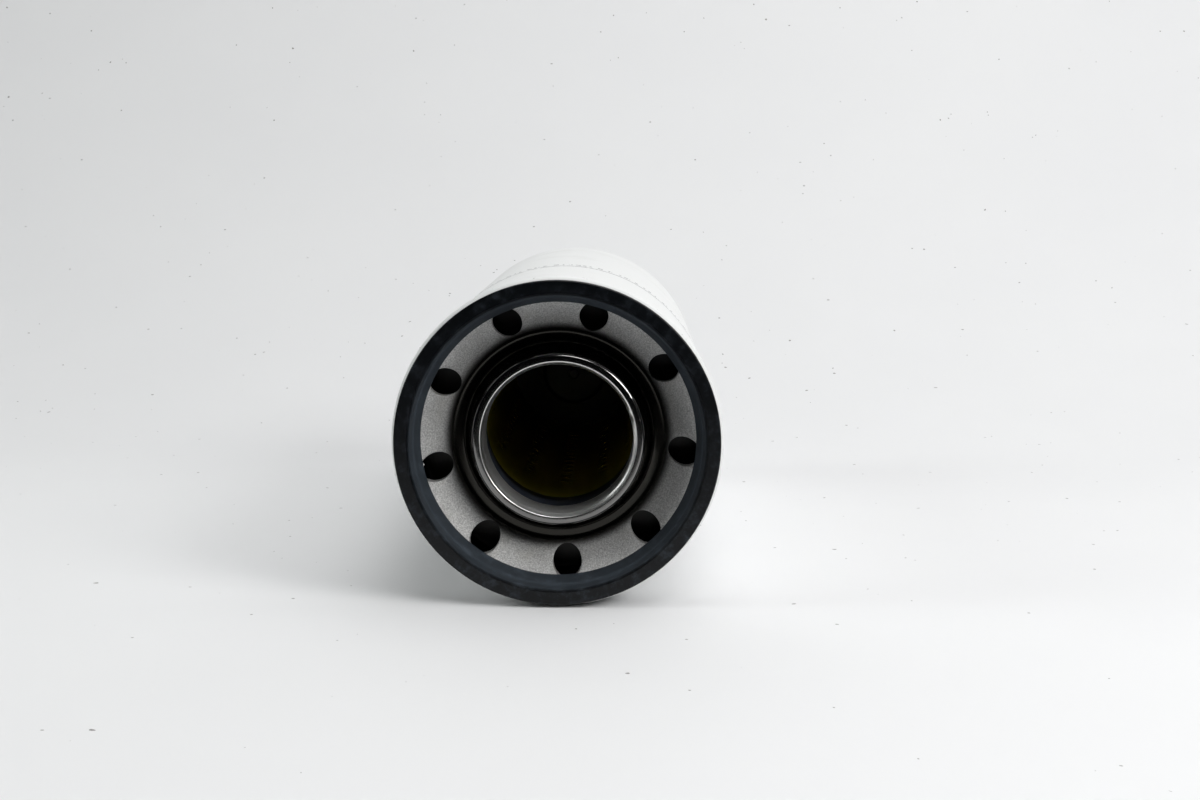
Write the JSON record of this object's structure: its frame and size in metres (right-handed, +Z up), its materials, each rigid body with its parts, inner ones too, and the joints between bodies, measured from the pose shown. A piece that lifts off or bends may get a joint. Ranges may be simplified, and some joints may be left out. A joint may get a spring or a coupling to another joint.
{
  "type": "oil filter",
  "caption": "Long white steel spin-on oil filter with a domed end, a thick threaded plate with oval inlets, and a black gasket.",
  "frame": {"origin": "on the filter's axis, where the hub's full thread begins", "axes": "+Y along the axis towards the domed end, -Y out of the thread, +Z up as the filter lies on its side"},
  "size_m": [0.12, 0.289, 0.12],
  "materials": {
    "can_paint": "gloss white enamel",
    "compound": "matte",
    "gasket_rubber": "moulded, slightly dusty",
    "seal_rubber": "moulded",
    "plate_steel": "satin, oiled, drawn",
    "cap_steel": "plain pressed sheet",
    "valve_steel": "zinc plated",
    "spring_steel": "oiled spring wire",
    "yellow_zinc": "yellow passivated",
    "filter_paper": "resin treated",
    "adhesive": "cured plastisol"
  },
  "bodies": {
    "housing": {"canister": "can_paint", "gasket_retainer": "can_paint", "seam_compound": "compound", "mounting_gasket": "gasket_rubber", "nut_plate": "plate_steel", "spring_pad": "cap_steel", "element_spring": "spring_steel"},
    "element": {"hub_seal": "seal_rubber", "top_end_cap": "cap_steel", "bottom_end_cap": "cap_steel", "center_tube": "yellow_zinc", "pleated_media": "filter_paper", "pleat_clip": "cap_steel", "pleat_beads": "adhesive", "top_potting": "adhesive", "bottom_potting": "adhesive", "bypass_seat": "valve_steel", "bypass_cage": "valve_steel", "bypass_spring": "spring_steel", "spring_cup": "cap_steel"},
    "bypass_valve": {"bypass_poppet": "valve_steel", "poppet_seal": "seal_rubber"}
  },
  "joints": [
    {"name": "element_slide", "type": "slide", "parent": "housing", "child": "element", "axis": [0, 1, 0], "range_m": [0, 0.003], "stiffness_N_per_m": 8000, "springref_m": -0.012, "deforming": ["element_spring"]},
    {"name": "bypass_lift", "type": "slide", "parent": "element", "child": "bypass_valve", "axis": [0, -1, 0], "range_m": [0, 0.005], "stiffness_N_per_m": 1500, "springref_m": -0.016, "deforming": ["bypass_spring"]}
  ]
}
